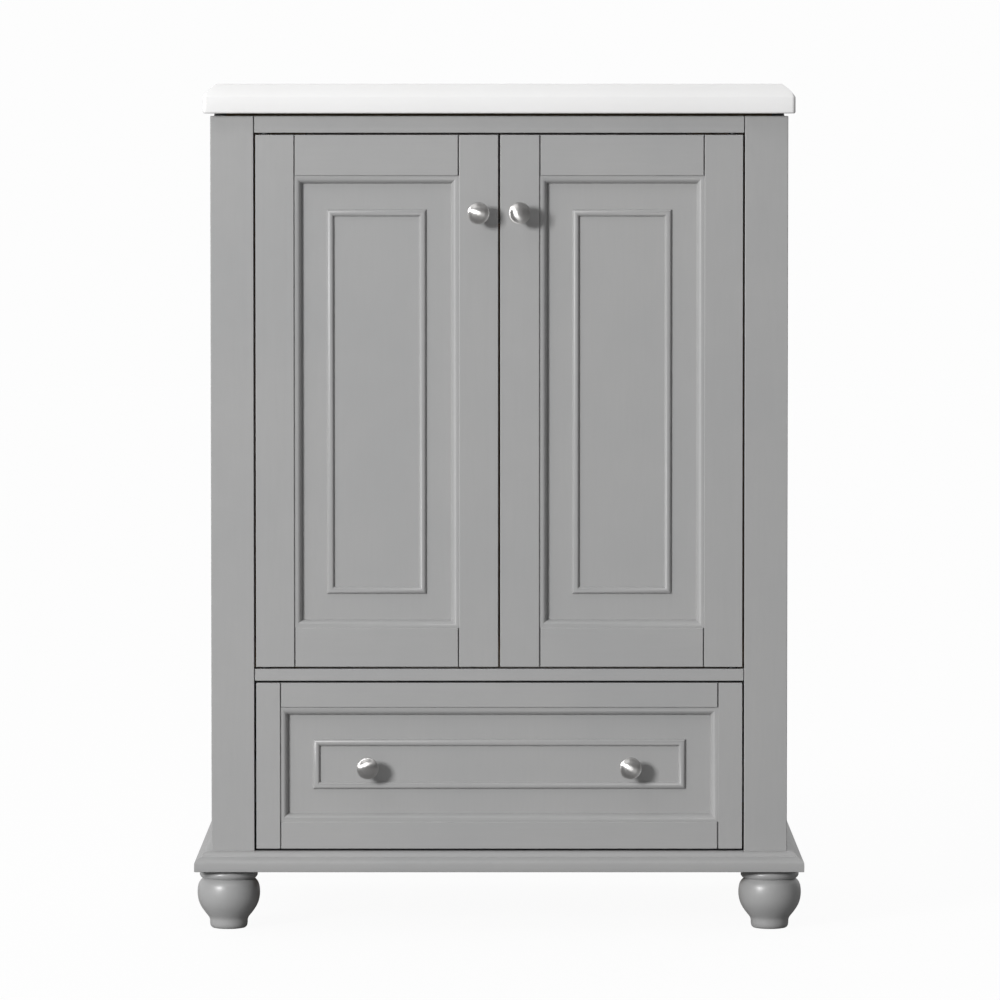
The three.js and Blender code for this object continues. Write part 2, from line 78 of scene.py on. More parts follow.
# ---------------------------------------------------------------- node trees
class Surface:
    """A Principled material, with short ways to add the nodes that drive it."""

    def __init__(self, name, **constants):
        self.material = bpy.data.materials.new(name)
        self.material.use_nodes = True
        self.tree = self.material.node_tree
        self.shader = self.tree.nodes["Principled BSDF"]
        for socket, value in constants.items():
            self.shader.inputs[socket.replace("_", " ")].default_value = value
        self.place = self.node("ShaderNodeTexCoord").outputs["Object"]
        self.relief = None

    def node(self, kind, inputs=(), **settings):
        """Adds a node. Inputs map a socket's name or index to a value, or to the output that feeds it."""
        made = self.tree.nodes.new(kind)
        for key, value in settings.items():
            setattr(made, key, value)
        for key, value in dict(inputs).items():
            if isinstance(value, bpy.types.NodeSocket):
                self.tree.links.new(value, made.inputs[key])
            else:
                made.inputs[key].default_value = value
        return made

    def stretched(self, scale, place=None):
        """The place, with each axis scaled: a small number makes a pattern long along that axis."""
        vector = {"Vector": place or self.place, "Scale": scale}
        return self.node("ShaderNodeMapping", vector).outputs["Vector"]

    def noise(self, scale, detail=2.0, place=None, roughness=0.5):
        inputs = {"Vector": place or self.place, "Scale": scale, "Detail": detail, "Roughness": roughness}
        return self.node("ShaderNodeTexNoise", inputs).outputs["Fac"]

    def ranged(self, value, low, high, start=0.3, end=0.7):
        """Maps a value from start..end to low..high."""
        inputs = {"Value": value, "From Min": start, "From Max": end, "To Min": low, "To Max": high}
        return self.node("ShaderNodeMapRange", inputs).outputs["Result"]

    def mixed(self, factor, first, second):
        """A blend of two colours. The colour sockets of the mix node are inputs 6 and 7, output 2."""
        inputs = {0: factor, 6: first, 7: second}
        return self.node("ShaderNodeMix", inputs, data_type="RGBA").outputs[2]

    def math(self, operation, first, second=0.0):
        inputs = {0: first, 1: second}
        return self.node("ShaderNodeMath", inputs, operation=operation).outputs[0]

    def bump(self, height, strength, distance):
        """Adds relief on top of the relief so far."""
        inputs = {"Height": height, "Strength": strength, "Distance": distance}
        if self.relief is not None:
            inputs["Normal"] = self.relief
        self.relief = self.node("ShaderNodeBump", inputs).outputs["Normal"]

    def drive(self, **sockets):
        """Links the named shader sockets and the relief, and gives the finished material."""
        for name, value in sockets.items():
            self.tree.links.new(value, self.shader.inputs[name.replace("_", " ")])
        if self.relief is not None:
            self.tree.links.new(self.relief, self.shader.inputs["Normal"])
        return self.material


def grey(level, warmth=0.0):
    """A neutral colour, or one leaning to red for a positive warmth."""
    return (level * (1 + warmth), level, level * (1 - warmth), 1.0)


# ---------------------------------------------------------------- materials
def paint_material(name, grain):
    """Satin grey lacquer: a fine orange peel, faint brushed grain along the board, soft blotches."""
    paint = Surface(name, Specular_IOR_Level=0.5, Coat_Weight=0.3, Coat_Roughness=0.3)
    along = [22.0, 22.0, 22.0]
    along["XYZ".index(grain)] = 1.6
    streaks = paint.noise(14.0, 5.0, paint.stretched(along), 0.6)
    blotches = paint.noise(7.0, 3.0)
    tint = paint.mixed(paint.ranged(blotches, 0, 1), grey(0.362, -0.004), grey(0.382, 0.004))
    tint = paint.mixed(paint.ranged(streaks, 0, 0.35), tint, grey(0.35))
    paint.bump(paint.noise(650.0, 1.0), 0.16, 0.08 * MM)
    paint.bump(streaks, 0.10, 0.12 * MM)
    roughness = paint.ranged(paint.noise(90.0, 3.0), 0.34, 0.44)
    return paint.drive(Base_Color=tint, Roughness=roughness)


def plywood_material(name, grain, thickness):
    """Birch plywood: long figure on the faces, and stacked plies where an edge shows."""
    wood = Surface(name, Specular_IOR_Level=0.4, Coat_Weight=0.15, Coat_Roughness=0.35)
    along = [9.0, 9.0, 9.0]
    along["XYZ".index(grain)] = 0.55
    figure = wood.noise(6.0, 6.0, wood.stretched(along), 0.62)
    pores = wood.noise(150.0, 2.0, wood.stretched([a ** 0.8 for a in along]), 0.5)
    face = wood.mixed(wood.ranged(figure, 0, 1, 0.32, 0.68), (0.66, 0.49, 0.30, 1), (0.51, 0.35, 0.19, 1))
    face = wood.mixed(wood.ranged(pores, 0, 0.3, 0.5, 0.7), face, (0.36, 0.23, 0.12, 1))
    ply_thick = 1.5 * MM
    split = wood.node("ShaderNodeSeparateXYZ", {"Vector": wood.place})
    depth = wood.math("MULTIPLY", split.outputs["XYZ".index(thickness)], 1 / ply_thick)
    ply = wood.math("GREATER_THAN", wood.math("FRACT", wood.math("MULTIPLY", depth, 0.5)), 0.5)
    edge = wood.mixed(ply, (0.58, 0.42, 0.25, 1), (0.38, 0.24, 0.13, 1))
    normals = wood.node("ShaderNodeTexCoord").outputs["Normal"]
    facing = wood.node("ShaderNodeSeparateXYZ", {"Vector": normals}).outputs["XYZ".index(thickness)]
    is_edge = wood.math("LESS_THAN", wood.math("ABSOLUTE", facing), 0.5)
    wood.bump(pores, 0.25, 0.15 * MM)
    wood.bump(figure, 0.12, 0.2 * MM)
    roughness = wood.ranged(figure, 0.45, 0.6)
    return wood.drive(Base_Color=wood.mixed(is_edge, face, edge), Roughness=roughness)


def top_material():
    """Gloss white glaze, a little wavy where it flowed, with a barely uneven tint."""
    top = Surface("white_glaze", Specular_IOR_Level=0.5, Coat_Weight=0.35, Coat_Roughness=0.06)
    tint = top.mixed(top.ranged(top.noise(9.0, 4.0), 0, 1), grey(0.845, 0.004), grey(0.87, 0.002))
    top.bump(top.noise(16.0, 2.0), 0.06, 0.3 * MM)
    top.bump(top.noise(420.0, 2.0), 0.03, 0.05 * MM)
    roughness = top.ranged(top.noise(45.0, 3.0), 0.13, 0.22)
    return top.drive(Base_Color=tint, Roughness=roughness)


def nickel_material():
    """Satin nickel, brushed across: fine scratches lie along V of the brushing map."""
    nickel = Surface("satin_nickel", Metallic=1.0, Anisotropic=0.85)
    brushed = nickel.node("ShaderNodeUVMap", uv_map="brushing").outputs["UV"]
    scratches = nickel.noise(30.0, 4.0, nickel.stretched((9.0, 0.3, 1.0), brushed), 0.7)
    tint = nickel.mixed(nickel.ranged(scratches, 0, 1), grey(0.5, 0.018), grey(0.62, 0.014))
    nickel.bump(scratches, 0.15, 0.02 * MM)
    tangent = nickel.node("ShaderNodeTangent", direction_type="UV_MAP", uv_map="brushing")
    nickel.tree.links.new(tangent.outputs["Tangent"], nickel.shader.inputs["Tangent"])
    return nickel.drive(Base_Color=tint, Roughness=nickel.ranged(scratches, 0.34, 0.42))


def zinc_material():
    """Rolled steel under bright zinc, with drawn streaks and a cloudy passivated film."""
    zinc = Surface("bright_zinc", Metallic=1.0)
    drawn = zinc.noise(60.0, 4.0, zinc.stretched((12.0, 0.5, 12.0)), 0.6)
    film = zinc.noise(38.0, 4.0)
    tint = zinc.mixed(zinc.ranged(film, 0, 1), (0.50, 0.53, 0.57, 1), (0.64, 0.64, 0.61, 1))
    zinc.bump(drawn, 0.2, 0.05 * MM)
    return zinc.drive(Base_Color=tint, Roughness=zinc.ranged(drawn, 0.28, 0.42))


def black_steel_material():
    """Blackened steel: a dark, slightly oily skin, rubbed grey in patches."""
    steel = Surface("blackened_steel", Metallic=0.85)
    rubbed = steel.noise(220.0, 4.0)
    tint = steel.mixed(steel.ranged(rubbed, 0, 1, 0.45, 0.75), grey(0.035), grey(0.09))
    steel.bump(rubbed, 0.2, 0.05 * MM)
    return steel.drive(Base_Color=tint, Roughness=steel.ranged(rubbed, 0.42, 0.58))


def plastic_material(name, level, warmth, shine):
    """Moulded plastic with a fine spark-eroded grain."""
    plastic = Surface(name, Specular_IOR_Level=0.45)
    cloud = plastic.noise(35.0, 3.0)
    tint = plastic.mixed(plastic.ranged(cloud, 0, 1), grey(level * 0.95, warmth), grey(level, warmth))
    plastic.bump(plastic.noise(1400.0, 2.0), 0.3, 0.06 * MM)
    return plastic.drive(Base_Color=tint, Roughness=plastic.ranged(cloud, shine - 0.05, shine + 0.08))


PAINT = {axis: paint_material(f"grey_paint_{axis.lower()}", axis) for axis in "XYZ"}
GLAZE = top_material()
NICKEL = nickel_material()
ZINC = zinc_material()
BLACK_STEEL = black_steel_material()
CATCH_PLASTIC = plastic_material("catch_plastic", 0.74, 0.02, 0.45)
MAGNET = plastic_material("sintered_magnet", 0.05, 0.0, 0.4)


# ---------------------------------------------------------------- mesh helpers
def crease(bm, degrees):
    """Smooth shading everywhere but along the edges that turn by more than this."""
    limit = math.radians(degrees)
    for face in bm.faces:
        face.smooth = True
    for edge in bm.edges:
        edge.smooth = len(edge.link_faces) == 2 and edge.calc_face_angle(0) < limit


def piece(name, bm, body, material, replaces=(), degrees=32):
    """Turns the drawn mesh into a piece that rides a body, and that stands for the CAD nodes it replaces."""
    bmesh.ops.recalc_face_normals(bm, faces=bm.faces)
    crease(bm, degrees)
    mesh = bpy.data.meshes.new(name)
    bm.to_mesh(mesh)
    bm.free()
    obj = bpy.data.objects.new(name, mesh)
    bpy.context.scene.collection.objects.link(obj)
    mesh.materials.append(material)
    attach(obj, body)
    if replaces:
        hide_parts(*replaces)
    return obj


def bridge(bm, loops, closed_path=False):
    """Skins a row of vertex loops of one length with quads. A closed path joins the last to the first."""
    following = loops[1:] + loops[:1] if closed_path else loops[1:]
    for near, far in zip(loops, following):
        for a, b, c, d in zip(near, near[1:] + near[:1], far, far[1:] + far[:1]):
            bm.faces.new((a, b, d, c))


def ring_of_vertices(bm, points):
    return [bm.verts.new(p) for p in points]


def arc(centre, radius, start, end, steps):
    """Points on a circle between two angles in degrees, both ends included."""
    angles = (math.radians(start + (end - start) * i / steps) for i in range(steps + 1))
    return [(centre[0] + radius * math.cos(a), centre[1] + radius * math.sin(a)) for a in angles]


def flowing(points, steps):
    """A smooth line through given points (Catmull-Rom), with this many steps between two."""
    ends = [points[0], *points, points[-1]]
    line = [points[0]]
    for before, start, end, after in zip(ends, ends[1:], ends[2:], ends[3:]):
        for i in range(1, steps + 1):
            t = i / steps
            line.append(
                tuple(
                    0.5
                    * (
                        2 * b
                        + (c - a) * t
                        + (2 * a - 5 * b + 4 * c - d) * t * t
                        + (3 * b - a - 3 * c + d) * t * t * t
                    )
                    for a, b, c, d in zip(before, start, end, after)
                )
            )
    return line


def lathe(bm, profile, place, segments):
    """Turns (radius, height) points round the local Z axis, then places them. Ends on the axis close it."""
    loops = []
    for radius, height in profile:
        if radius < ON_AXIS:
            loops.append([bm.verts.new(place @ Vector((0, 0, height)))])
            continue
        turn = (2 * math.pi * i / segments for i in range(segments))
        points = [place @ Vector((radius * math.cos(a), radius * math.sin(a), height)) for a in turn]
        loops.append(ring_of_vertices(bm, points))
    for near, far in zip(loops, loops[1:]):
        if len(near) == len(far):
            bridge(bm, [near, far])
            continue
        pole, rim = (near[0], far) if len(near) == 1 else (far[0], near)
        for a, b in zip(rim, rim[1:] + rim[:1]):
            bm.faces.new((pole, a, b))


def scaled(profile):
    """Millimetres to metres."""
    return [(a * MM, b * MM) for a, b in profile]


def facing_front(x, y, z):
    """Turns local +Z to face out of the front (-Y), at a point."""
    return Matrix.Translation((x, y, z)) @ Matrix.Rotation(math.radians(90), 4, "X")


def rectangle_loop(low, high, inset_x, inset_z, y):
    """Four corners of an upright rectangle, moved in from its edges."""
    left, right = low.x + inset_x, high.x - inset_x
    bottom, top = low.z + inset_z, high.z - inset_z
    return [(left, y, bottom), (right, y, bottom), (right, y, top), (left, y, top)]


# ---------------------------------------------------------------- boards that stay CAD
def ease_edges(node, radius):
    """Rounds a board's edges, as its paint or sanding does. Only modifiers: the CAD mesh stays as it is."""
    weld = node.modifiers.new("weld", "WELD")
    weld.merge_threshold = 0.01 * MM
    bevel = node.modifiers.new("eased_edges", "BEVEL")
    bevel.width = radius
    bevel.segments = 3
    bevel.limit_method = "ANGLE"
    bevel.angle_limit = math.radians(40)
    flatten = node.modifiers.new("flat_faces", "WEIGHTED_NORMAL")
    flatten.weight = 100
    for polygon in node.data.polygons:
        polygon.use_smooth = True


def finish_board(name, material, radius=EASED_EDGE):
    """Gives a CAD board its material and its eased edges."""
    node = frame["nodes"][name]
    node.data.materials.clear()
    node.data.materials.append(material)
    ease_edges(node, radius)


def painted_boards():
    """The boards that the paint covers and that keep their CAD shape."""
    upright = ["left_side_panel", "right_side_panel", "left_face_stile", "right_face_stile"]
    for side in SIDES:
        upright += [f"{side}_door_hinge_stile", f"{side}_door_lock_stile", f"drawer_{side}_stile"]
    for name in upright:
        finish_board(name, PAINT["Z"])
    finish_board("face_bottom_rail", PAINT["X"])


# ---------------------------------------------------------------- rails, with open joints at their ends
def rail_section(low, high, x, front_y, relieved):
    """Points round a rail's section at one x. A relieved section stops at the bottom of the joint line."""
    r = EASED_EDGE
    front = arc((front_y + r, low.z + r), r, -90, -180, 3) + arc((front_y + r, high.z - r), r, 180, 90, 3)
    if relieved:
        front = [(low.y + JOINT_DEPTH, z) for _, z in front]
    outline = [(high.y, low.z), *front, (high.y, high.z)]
    return [(x, y, z) for y, z in outline]


def rail(node, body, joint):
    """A rail whose front stops just short of both stiles, which leaves a thin dark joint line."""
    low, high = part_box(node)
    ease = 0.3 * MM
    sections = [(0, 0, True), (joint, 0, True), (joint, ease, False), (joint + ease, 0, False)]
    loops = [rail_section(low, high, low.x + x, low.y + back, cut) for x, back, cut in sections]
    loops += [rail_section(low, high, high.x - x, low.y + back, cut) for x, back, cut in sections[::-1]]
    bm = bmesh.new()
    rings = [ring_of_vertices(bm, loop) for loop in loops]
    bridge(bm, rings)
    bm.faces.new(rings[0])
    bm.faces.new(rings[-1])
    piece(f"{node}_jointed", bm, body, PAINT["X"], [node], 10)


def rails():
    """Every rail between two stiles, with the width of its joint lines."""
    rail("face_top_rail", "cabinet", 1.0 * MM)
    rail("face_middle_rail", "cabinet", 0.8 * MM)
    for body in ("left_door", "right_door", "drawer"):
        for level in ("top", "bottom"):
            rail(f"{body}_{level}_rail", body, 1.2 * MM)


# ---------------------------------------------------------------- bare plywood
def plywood_boards():
    """Each board's grain runs along its first axis, and its plies are stacked along the second."""
    boards = {
        ("X", "Z"): ["cabinet_floor", "compartment_deck", "drawer_box_bottom"],
        ("X", "Y"): ["back_top_rail", "top_front_cleat", "drawer_box_front", "drawer_box_back"],
        ("Z", "Y"): ["back_panel"],
        ("Y", "X"): [
            "drawer_box_left_side",
            "drawer_box_right_side",
            "left_slide_batten",
            "right_slide_batten",
        ],
    }
    sanded_edge = 0.6 * MM
    for (grain, thickness), names in boards.items():
        wood = plywood_material(f"birch_ply_{grain.lower()}_{thickness.lower()}", grain, thickness)
        for name in names:
            finish_board(name, wood, sanded_edge)


# ---------------------------------------------------------------- panels and their mouldings
PANEL_THICK = 7 * MM
MOULDING_WIDTH = 9 * MM
BEAD_RADIUS = 3.6 * MM


def panel_field_y(body):
    """The panel's flat front face: its back, less its thickness."""
    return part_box(f"{body}_panel")[1].y - PANEL_THICK


def panel(body, bead_inset):
    """One sheet with a raised bead run round it, let into the frame behind the moulding."""
    low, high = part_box(f"{body}_panel")
    face_y = panel_field_y(body)
    start_x, start_z = (MOULDING_WIDTH + inset for inset in bead_inset)
    bm = bmesh.new()
    loops = [rectangle_loop(low, high, 0, 0, high.y), rectangle_loop(low, high, 0, 0, face_y)]
    for inward, height in arc((BEAD_RADIUS, 0), BEAD_RADIUS, 180, 0, 14):
        loops.append(rectangle_loop(low, high, start_x + inward, start_z + inward, face_y - height))
    rings = [ring_of_vertices(bm, loop) for loop in loops]
    bridge(bm, rings)
    bm.faces.new(rings[0])
    bm.faces.new(rings[-1])
    piece(f"{body}_beaded_panel", bm, body, PAINT["Z"], [f"{body}_panel"], 38)


def panel_moulding(body):
    """Four mitred lengths: an ovolo that starts a little below the frame and steepens down to the panel."""
    low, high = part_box(f"{body}_panel_moulding")
    back_y = panel_field_y(body)
    crown = [(0.0, 7.3), (1.8, 7.4), (3.8, 7.0), (5.6, 6.0), (7.2, 3.7), (8.3, -0.3)]
    profile = scaled([(0, -0.3), *flowing(crown, 4)])
    bm = bmesh.new()
    corners = []
    for corner in range(4):
        points = [
            Vector(rectangle_loop(low, high, inward, inward, back_y - height)[corner])
            for inward, height in profile
        ]
        corners.append(ring_of_vertices(bm, points))
    bridge(bm, corners, closed_path=True)
    replaced = [f"{body}_panel_moulding"]
    piece(f"{body}_mitred_moulding", bm, body, PAINT["X"], replaced, 28)


def panelled_fronts():
    """The doors and the drawer. The bead stands in from the moulding by this much, across and up."""
    door_inset = (25 * MM, 25.9 * MM)
    drawer_inset = (25 * MM, 24.6 * MM)
    fronts = {"left_door": door_inset, "right_door": door_inset, "drawer": drawer_inset}
    for body, bead_inset in fronts.items():
        panel(body, bead_inset)
        panel_moulding(body)


# ---------------------------------------------------------------- base moulding
def base_profile():
    """(projection, height above the underside) of the base moulding: a face under two stacked rounds."""
    lower = flowing([(17.5, 8.4), (17.1, 10.0), (15.6, 11.8), (13.0, 13.6), (10.4, 14.7)], 4)
    upper = flowing([(9.9, 15.0), (9.5, 16.6), (8.4, 18.4), (6.3, 19.7), (3.4, 20.4), (0.0, 20.5)], 4)
    return scaled([(0, 0), (16.7, 0), (17.3, 0.25), (17.5, 0.9), *lower, (10.15, 14.8), *upper])


def moulding_length(profile, start, end):
    """Skins one length between its two end sections, each a rule from (projection, height) to a point."""
    bm = bmesh.new()
    sections = [ring_of_vertices(bm, [rule(p, h) for p, h in profile]) for rule in (start, end)]
    bridge(bm, sections)
    for section in sections:
        bm.faces.new(section)
    return bm


def base_mouldings():
    """Three lengths, mitred at the front corners and square at the wall."""
    low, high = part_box("front_base_moulding")
    back_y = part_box("left_base_moulding")[1].y
    projection = high.y - low.y
    cabinet_x = high.x - projection
    profile = base_profile()

    def corner(side):
        return lambda p, h: Vector((side * (cabinet_x + p), high.y - p, low.z + h))

    def back_end(side):
        return lambda p, h: Vector((side * (cabinet_x + p), back_y, low.z + h))

    front = moulding_length(profile, corner(-1), corner(1))
    piece("front_moulded_base", front, "cabinet", PAINT["X"], ["front_base_moulding"], 26)
    for name, side in SIDES.items():
        length = moulding_length(profile, corner(side), back_end(side))
        replaced = [f"{name}_base_moulding"]
        piece(f"{name}_moulded_base", length, "cabinet", PAINT["Y"], replaced, 26)


# ---------------------------------------------------------------- turned feet
def foot_profile():
    """(radius, height) in mm: rounded sole, short neck, bulb, groove and a collar under the cabinet."""
    sole = [(0, 0), (15.0, 0), (17.0, 0.4), (18.4, 1.5), (19.2, 3.0), (19.6, 5.4)]
    bulb = [(19.7, 8.5), (20.8, 11.6), (25.7, 17.8), (29.6, 24.0), (31.8, 30.3), (32.6, 37.0)]
    bulb += [(32.1, 43.5), (30.7, 47.8), (28.6, 50.6), (27.2, 51.7)]
    collar = [(27.0, 52.0), (28.6, 53.1), (29.9, 54.9), (30.2, 56.9), (29.5, 59.0), (28.0, 60.5)]
    return [*sole, *flowing(bulb, 4), *flowing(collar, 4), (26.5, 61.5), (0, 61.5)]


def feet():
    """The rear feet are slimmer than the front ones, so the profile is scaled to each foot's own width."""
    widest = max(radius for radius, height in foot_profile())
    for along in ("front", "rear"):
        for across in SIDES:
            node = f"{along}_{across}_foot"
            low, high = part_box(node)
            middle = (low + high) / 2
            radius = (high.x - low.x) / 2
            profile = [(r / widest * radius, z * MM) for r, z in foot_profile()]
            bm = bmesh.new()
            lathe(bm, profile, Matrix.Translation((middle.x, middle.y, low.z)), 72)
            piece(f"{along}_{across}_turned_foot", bm, "cabinet", PAINT["Z"], [node], 36)


# ---------------------------------------------------------------- knobs
def knob_profile():
    """(radius, height) from the base flange to the crown of the domed head."""
    flange = [(6.5, 0), (6.5, 1.1), (6.2, 1.5)]
    stem = flowing([(5.6, 1.8), (4.4, 3.6), (3.9, 6.5), (3.9, 9.5)], 5)
    flare = [(3.9, 9.5), (4.6, 12.4), (6.8, 14.8), (9.6, 16.3), (10.9, 17.2), (11.25, 18.3)]
    rim = [(11.25, 19.4), *arc((10.65, 19.8), 0.6, 0, 90, 6)]
    dome = [(10.2, 20.5), (8.6, 21.6), (6.9, 22.7), (4.8, 23.4), (2.4, 23.9), (0, 24.0)]
    return scaled([(0, 0), *flange, *stem, *flowing(flare, 5)[1:], *rim, *flowing(dome, 5)])


def add_brushing_uv(obj, axis, degrees):
    """A flat UV map seen from the front: U runs across the scratches, at this angle to the horizontal."""
    layer = obj.data.uv_layers.new(name="brushing")
    turn = Matrix.Rotation(math.radians(-degrees), 2)
    for loop in obj.data.loops:
        offset = obj.data.vertices[loop.vertex_index].co - axis
        layer.data[loop.index].uv = turn @ Vector((offset.x, offset.z)) / (12 * MM)


def knobs():
    """Four knobs off one lathe. Each was tightened to its own angle, so its brushing lies its own way."""
    places = {
        "left_door_knob": ("left_door", -18),
        "right_door_knob": ("right_door", -58),
        "drawer_left_knob": ("drawer", 15),
        "drawer_right_knob": ("drawer", -30),
    }
    for node, (body, degrees) in places.items():
        low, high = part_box(node)
        middle = (low + high) / 2
        bm = bmesh.new()
        lathe(bm, knob_profile(), facing_front(middle.x, high.y, middle.z), 64)
        made = piece(f"{node}_turned", bm, body, NICKEL, [node], 40)
        add_brushing_uv(made, middle, degrees)


# ---------------------------------------------------------------- top with basin
class Basin:
    """The oval bowl: its centre, half widths at the rim, depth, wall and the height of its rim."""

    def __init__(self, top_z):
        self.centre = Vector((0.0, FACE_Y + 198 * MM, 0.0))
        self.half_x = 205 * MM
        self.half_y = 148 * MM
        self.depth = 131.5 * MM
        self.wall = 11 * MM
        self.top_z = top_z


def bowl_section():
    """(share of the rim, depth) from the rounded lip down the wall to the drain."""
    lip = [(1.012, 0.0), (1.004, 0.4), (0.996, 1.6), (0.989, 3.8), (0.983, 7.0)]
    wall = [(0.975, 13.0), (0.963, 30.0), (0.93, 56.5), (0.872, 84.5), (0.77, 105.5)]
    floor = [(0.62, 119.5), (0.42, 127.0), (0.24, 129.8), (0.152, 130.6)]
    return [(share, depth * MM) for share, depth in flowing(lip + wall + floor, 4)]


def eased_edge_section(edge_radius, height, lower_radius):
    """(inset from the plan outline, height) up the slab's edge: a small round, then upright, then the bevel.

    The bevel is a superellipse: a power of 2 would be a quarter-round, and 1 a flat chamfer.
    """
    lower = arc((lower_radius, lower_radius), lower_radius, -90, -180, 4)
    power = 1.2
    exponent = 2 / power
    steps = 14
    upper = []
    for i in range(steps + 1):
        angle = math.pi / 2 * i / steps
        inset = edge_radius * (1 - math.cos(angle) ** exponent)
        upper.append((inset, height - edge_radius * (1 - math.sin(angle) ** exponent)))
    return lower + upper


def slab_outline(low, high, corner_radius, spacing):
    """Plan points of the slab, anticlockwise from the back left: square behind, rounded in front."""
    r = corner_radius

    def straight(start, end):
        count = max(2, round((Vector(end) - Vector(start)).length / spacing))
        return [Vector(start).lerp(Vector(end), i / count) for i in range(count)]

    left_arc = [Vector(p) for p in arc((low.x + r, low.y + r), r, 180, 270, 10)]
    right_arc = [Vector(p) for p in arc((high.x - r, low.y + r), r, 270, 360, 10)]
    points = straight((low.x, high.y), (low.x, low.y + r)) + left_arc
    points += straight((low.x + r, low.y), (high.x - r, low.y))[1:] + right_arc
    points += straight((high.x, low.y + r), (high.x, high.y))[1:]
    points += straight((high.x, high.y), (low.x, high.y))
    return points


def inset_point(point, low, high, corner_radius, inset):
    """Moves an outline point in by a distance, from the front and the ends but not from the back."""
    r = corner_radius
    left_over = max(r - inset, 0.5 * MM)
    inner = Vector((min(max(point.x, low.x + r), high.x - r), max(point.y, low.y + r)))
    outward = (point - inner) / r
    reach = inset + left_over
    centre = Vector((min(max(inner.x, low.x + reach), high.x - reach), max(inner.y, low.y + reach)))
    return centre + outward * left_over


def countertop():
    """One closed skin of loops: up the slab's edge, over the deck, down the bowl and back up outside it."""
    low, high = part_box("countertop")
    seat_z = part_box("back_top_rail")[1].z
    basin = Basin(high.z)
    corner = 4 * MM
    bevel = 14 * MM
    lower_round = 2 * MM
    point_spacing = 12 * MM
    outline = slab_outline(low, high, corner, point_spacing)
    bm = bmesh.new()

    def plan_loop(inset, z):
        """The slab's plan outline at one height, moved in from the front and the ends."""
        return [(*inset_point(p, low, high, corner, inset), z) for p in outline]

    def oval_loop(half_x, half_y, z):
        """The points on an oval that lie in the same directions as the outline's."""
        points = []
        for p in outline:
            angle = math.atan2((p.y - basin.centre.y) / basin.half_y, (p.x - basin.centre.x) / basin.half_x)
            points.append((half_x * math.cos(angle), basin.centre.y + half_y * math.sin(angle), z))
        return points

    edge = eased_edge_section(bevel, high.z - seat_z, lower_round)
    loops = [plan_loop(inset, seat_z + height) for inset, height in edge]
    # These two keep the deck's shading flat from the bevel to the basin's rim
    loops.append(plan_loop(bevel + 0.6 * MM, high.z))
    loops.append(oval_loop(basin.half_x * 1.02, basin.half_y * 1.025, high.z))
    loops += [oval_loop(basin.half_x * s, basin.half_y * s, high.z - d) for s, d in bowl_section()]
    drain_seat = basin.top_z - basin.depth
    drain = 22.5 * MM
    drain_lip = [(28.5, 0.6), (27.0, -0.6), (25.8, -1.9), (23.6, -2.4), (22.5, -3.2)]
    for radius, rise in scaled(drain_lip):
        loops.append(oval_loop(radius, radius, drain_seat + rise))
    boss = 33 * MM
    boss_z = low.z
    for radius, rise in ((drain, 0.5), (drain + 0.5 * MM, 0), (boss - 1 * MM, 0), (boss, 1)):
        loops.append(oval_loop(radius, radius, boss_z + rise * MM))
    outside = [(0.18, 131.5), (0.30, 129.8), (0.46, 126.4), (0.64, 119.0), (0.78, 105.5)]
    outside += [(0.872, 84.5), (0.93, 56.5), (0.952, 38.0), (0.966, 26.0), (0.99, 20.2), (1.03, 19.5)]
    wall = basin.wall
    for share, depth in flowing(outside, 3):
        z = max(boss_z + 3 * MM, min(seat_z, basin.top_z - depth * MM - wall))
        loops.append(oval_loop((basin.half_x + wall) * share, (basin.half_y + wall) * share, z))
    rings = [ring_of_vertices(bm, loop) for loop in loops]
    bridge(bm, rings, closed_path=True)
    made = piece("moulded_basin_top", bm, "cabinet", GLAZE, ["countertop"], 30)
    drill_faucet_holes(made, seat_z)


def drill_faucet_holes(top, seat_z):
    """Three holes behind the basin, each with its rim eased on the show face."""
    profile = scaled([(0, -8), (16, -8), (16, 29), (16.3, 29.9), (17.0, 30.5), (17.0, 38), (0, 38)])
    spacing = 51 * MM
    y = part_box("back_top_rail")[1].y - 59.5 * MM
    bm = bmesh.new()
    for x in (-spacing, 0.0, spacing):
        lathe(bm, profile, Matrix.Translation((x, y, seat_z)), 48)
    bmesh.ops.recalc_face_normals(bm, faces=bm.faces)
    mesh = bpy.data.meshes.new("faucet_drill")
    bm.to_mesh(mesh)
    bm.free()
    drill = bpy.data.objects.new("faucet_drill", mesh)
    bpy.context.scene.collection.objects.link(drill)
    cut = top.modifiers.new("faucet_holes", "BOOLEAN")
    cut.operation = "DIFFERENCE"
    cut.solver = "EXACT"
    cut.object = drill
    bpy.context.view_layer.update()
    graph = bpy.context.evaluated_depsgraph_get()
    drilled = bpy.data.meshes.new_from_object(top.evaluated_get(graph), depsgraph=graph)
    top.modifiers.clear()
    bpy.data.objects.remove(drill)
    bm = bmesh.new()
    bm.from_mesh(drilled)
    crease(bm, 30)
    bm.to_mesh(drilled)
    bm.free()
    drilled.materials.clear()
    drilled.materials.append(GLAZE)
    top.data = drilled


# ---------------------------------------------------------------- ironmongery
def screw_heads(name, body, places, radius):
    """Pan heads with a dimple for the driver, all in one piece and facing the wall.

    Each place is a point on the surface.
    """
    height = 1.7 * MM
    dome = [(1, 0), (1, 0.35), (0.86, 0.72), (0.55, 0.95), (0.34, 1), (0, 0.55)]
    dome = [(r * radius, h * height) for r, h in dome]
    sunk = -0.2 * MM
    profile = [(0, sunk), (radius, sunk), *dome]
    turn = Vector((0, 0, 1)).rotation_difference(Vector((0, 1, 0))).to_matrix().to_4x4()
    bm = bmesh.new()
    for place in places:
        lathe(bm, profile, Matrix.Translation(place) @ turn, 20)
    piece(name, bm, body, ZINC, degrees=35)


